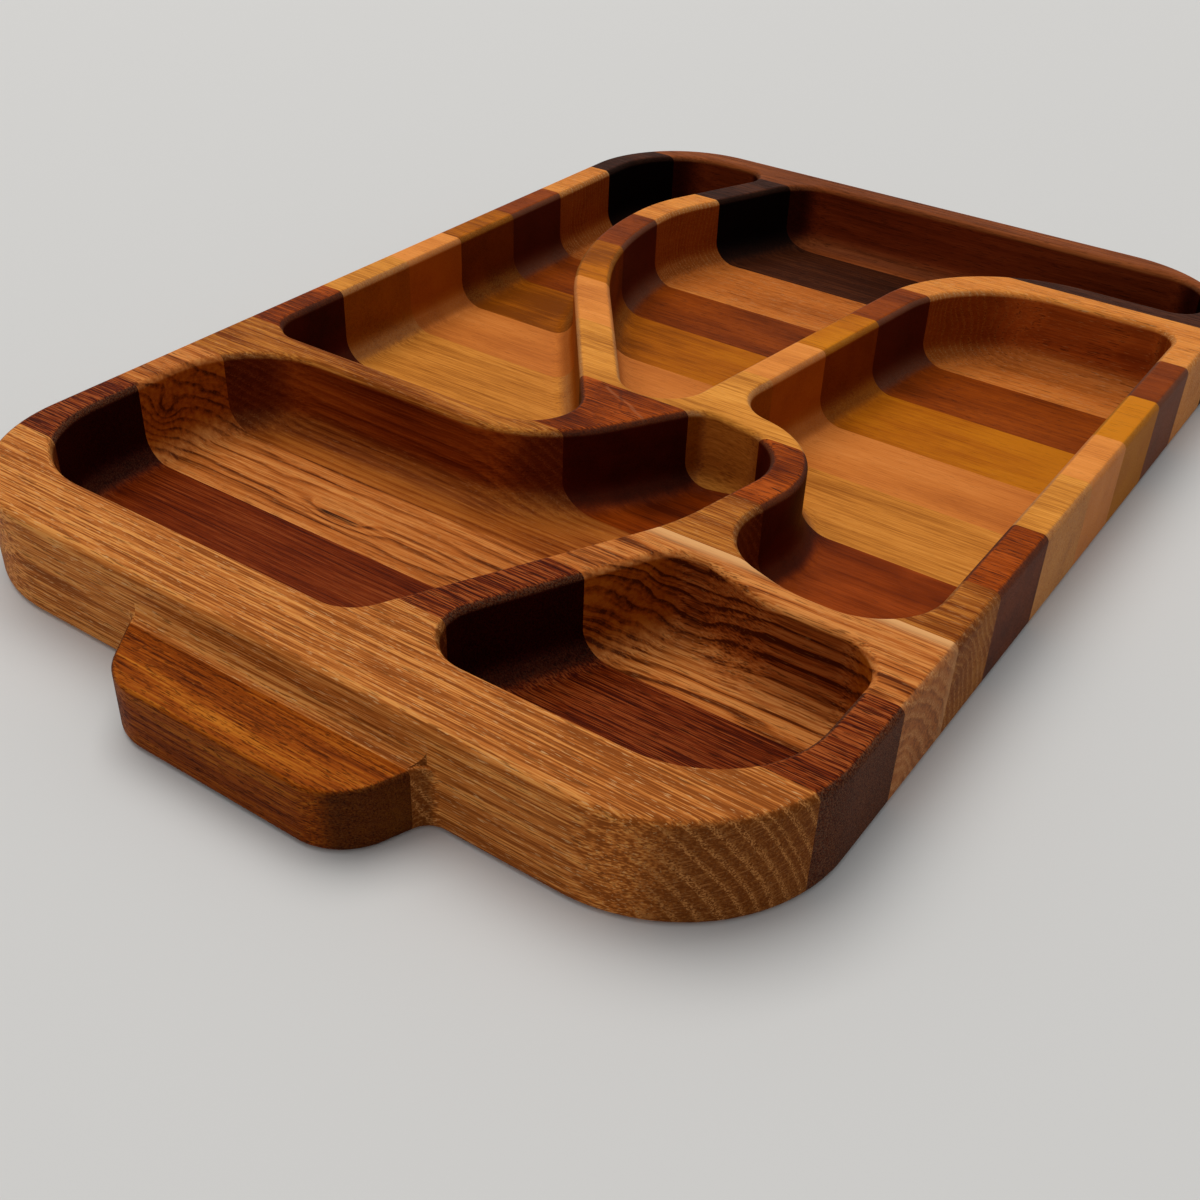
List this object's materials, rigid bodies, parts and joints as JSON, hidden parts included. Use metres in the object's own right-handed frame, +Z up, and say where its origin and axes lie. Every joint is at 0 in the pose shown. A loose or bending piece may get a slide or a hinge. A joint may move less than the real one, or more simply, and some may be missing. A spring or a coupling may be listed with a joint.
{
  "type": "serving tray",
  "caption": "Edge-glued serving tray of mixed hardwood staves, with rounded corners, curved-walled wells for snacks and a low handle block glued to each end.",
  "frame": {"origin": "under the middle of the tray, on the surface it stands on", "axes": "+X to the right across the tray along the grain, +Y from the front handle to the back handle, +Z up out of the wells"},
  "size_m": [0.3, 0.474, 0.034],
  "materials": {
    "handle_wood": "satin oil",
    "light_oak": "satin oil",
    "front_jatoba": "satin oil",
    "figured_oak": "satin oil",
    "brown_oak": "satin oil",
    "middle_jatoba": "satin oil",
    "golden_iroko": "satin oil",
    "cherry": "satin oil",
    "amber_iroko": "satin oil",
    "back_jatoba": "satin oil",
    "tan_oak": "satin oil",
    "wenge": "satin oil",
    "walnut": "satin oil"
  },
  "bodies": {
    "root": {"handle_front": "handle_wood", "stave_01_oak": "light_oak", "stave_02_jatoba": "front_jatoba", "stave_03_oak": "figured_oak", "stave_04_oak": "brown_oak", "stave_05_jatoba": "middle_jatoba", "stave_06_iroko": "golden_iroko", "stave_07_cherry": "cherry", "stave_08_iroko": "amber_iroko", "stave_09_jatoba": "back_jatoba", "stave_10_oak": "tan_oak", "stave_11_wenge": "wenge", "stave_12_walnut": "walnut", "handle_back": "handle_wood"}
  },
  "joints": []
}
